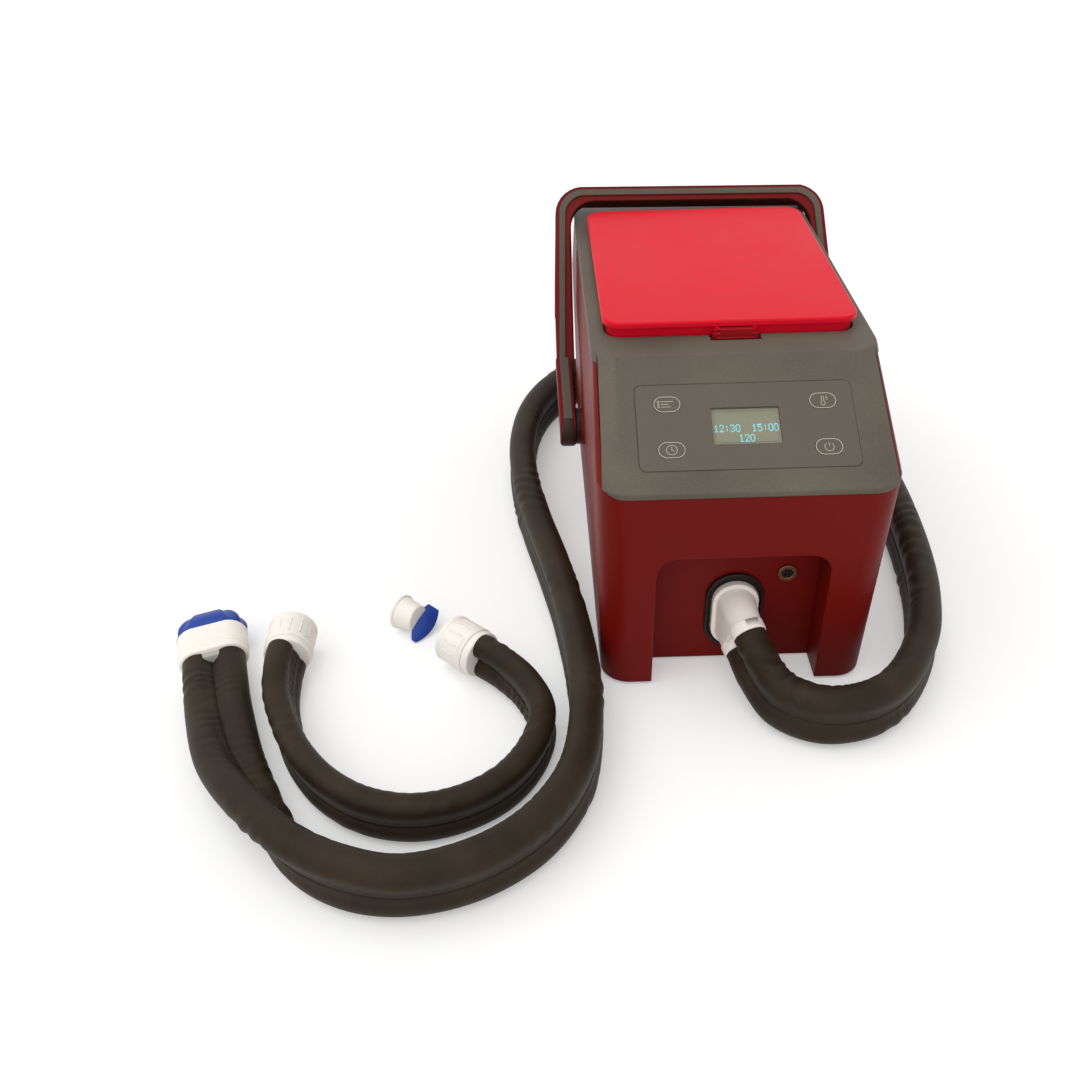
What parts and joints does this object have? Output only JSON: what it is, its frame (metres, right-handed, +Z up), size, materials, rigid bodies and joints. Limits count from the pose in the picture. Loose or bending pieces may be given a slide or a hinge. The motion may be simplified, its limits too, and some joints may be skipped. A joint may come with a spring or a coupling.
{
  "type": "hot cold therapy machine",
  "caption": "Portable water circulating therapy machine with sloped key panel, lidded reservoir, bail handle and twin hoses in fabric sleeves.",
  "frame": {"origin": "on the floor under the middle of the housing", "axes": "+Z up, -Y towards the key panel and the hose socket, +X to the right seen from the front"},
  "size_m": [0.6359, 0.7304, 0.265],
  "materials": {
    "body_red": "fine moulded texture",
    "cover_grey": "spark-eroded texture",
    "lid_red": "satin moulded",
    "black_plastic": "moulded",
    "white_plastic": "moulded",
    "blue_plastic": "moulded",
    "membrane_film": "printed polyester film",
    "clear_window": "clear acrylic",
    "lcd": "display panel",
    "board_green": "coated board",
    "rubber": "moulded",
    "steel": "zinc plated",
    "brass": "turned",
    "aluminium": "extruded",
    "copper": "machined",
    "ceramic": "ceramic",
    "clear_tube": "silicone tube",
    "sleeve": "coated woven sleeve over soft tubes"
  },
  "bodies": {
    "housing": {"body_shell": "body_red", "base_plate": "black_plastic", "feet": "rubber", "base_screws": "steel", "top_cover": "cover_grey", "cover_screws": "steel", "reservoir_tank": "white_plastic", "tank_screws": "steel", "tank_gasket": "rubber", "tank_filter": "steel", "lid_hinge_pins": "steel", "pivot_washers": "black_plastic", "pivot_bolts": "black_plastic", "pivot_nuts": "steel", "keypad_membrane": "membrane_film", "display_window": "clear_window", "display_module": "lcd", "control_board": "board_green", "key_switches": "black_plastic", "board_screws": "steel", "pump_body": "black_plastic", "pump_cover": "black_plastic", "tank_tube": "clear_tube", "pump_tube": "clear_tube", "supply_tube": "clear_tube", "return_tube": "clear_tube", "water_block": "copper", "thermo_modules": "ceramic", "heat_sink": "aluminium", "block_screws": "steel", "cooler_cradle": "black_plastic", "fan_frame": "black_plastic", "fan_screws": "steel", "hose_socket": "black_plastic", "socket_bezel": "black_plastic", "power_jack": "brass", "jack_insert": "black_plastic", "jack_nut": "brass", "hose_plug": "white_plastic", "plug_seals": "rubber", "main_hose": "sleeve", "hose_end_body": "white_plastic", "hose_end_cap": "blue_plastic", "short_hose": "sleeve", "coupling_tails": "white_plastic", "spare_cap": "white_plastic"},
    "lid": {"lid": "lid_red", "lid_seal": "rubber", "latch_pin": "steel"},
    "latch": {"lid_latch": "lid_red"},
    "handle": {"handle_frame": "body_red", "handle_trim": "cover_grey"},
    "mode_button": {"key_mode": "membrane_film"},
    "temperature_button": {"key_temperature": "membrane_film"},
    "timer_button": {"key_timer": "membrane_film"},
    "power_button": {"key_power": "membrane_film"},
    "impeller": {"pump_impeller": "white_plastic"},
    "fan": {"fan_rotor": "black_plastic"},
    "nut_a": {"coupling_nut_a": "white_plastic"},
    "nut_b": {"coupling_nut_b": "white_plastic"}
  },
  "joints": [
    {"name": "lid_hinge", "type": "hinge", "parent": "housing", "child": "lid", "pos_m": [0, 0.1559, 0.2452], "axis": [-1, 0, 0], "range_deg": [0, 86]},
    {"name": "latch_pivot", "type": "hinge", "parent": "lid", "child": "latch", "pos_m": [0.003, -0.0868, 0.2448], "axis": [-1, 0, 0], "range_deg": [0, 12], "stiffness_Nm_per_rad": 0.04, "springref_deg": -5.73},
    {"name": "handle_pivot", "type": "hinge", "parent": "housing", "child": "handle", "pos_m": [0, 0.03, 0.096], "axis": [1, 0, 0], "range_deg": [0, 80]},
    {"name": "impeller_spin", "type": "hinge", "parent": "housing", "child": "impeller", "pos_m": [-0.045, -0.04, 0.066], "axis": [0, 0, 1], "continuous": true},
    {"name": "fan_spin", "type": "hinge", "parent": "housing", "child": "fan", "pos_m": [0.02, 0.2, 0.072], "axis": [0, -1, 0], "continuous": true},
    {"name": "nut_a_spin", "type": "hinge", "parent": "housing", "child": "nut_a", "pos_m": [-0.352, -0.185, 0.0216], "axis": [0, 1, 0], "continuous": true},
    {"name": "nut_b_spin", "type": "hinge", "parent": "housing", "child": "nut_b", "pos_m": [-0.2021, -0.1922, 0.0216], "axis": [-0.7282, 0.6854, 0], "continuous": true},
    {"name": "mode_press", "type": "slide", "parent": "housing", "child": "mode_button", "axis": [0, 0.5, -0.866], "range_m": [0, 0.0005], "stiffness_N_per_m": 300, "springref_m": -0.001},
    {"name": "temperature_press", "type": "slide", "parent": "housing", "child": "temperature_button", "axis": [0, 0.5, -0.866], "range_m": [0, 0.0005], "stiffness_N_per_m": 300, "springref_m": -0.001},
    {"name": "timer_press", "type": "slide", "parent": "housing", "child": "timer_button", "axis": [0, 0.5, -0.866], "range_m": [0, 0.0005], "stiffness_N_per_m": 300, "springref_m": -0.001},
    {"name": "power_press", "type": "slide", "parent": "housing", "child": "power_button", "axis": [0, 0.5, -0.866], "range_m": [0, 0.0005], "stiffness_N_per_m": 300, "springref_m": -0.001}
  ]
}
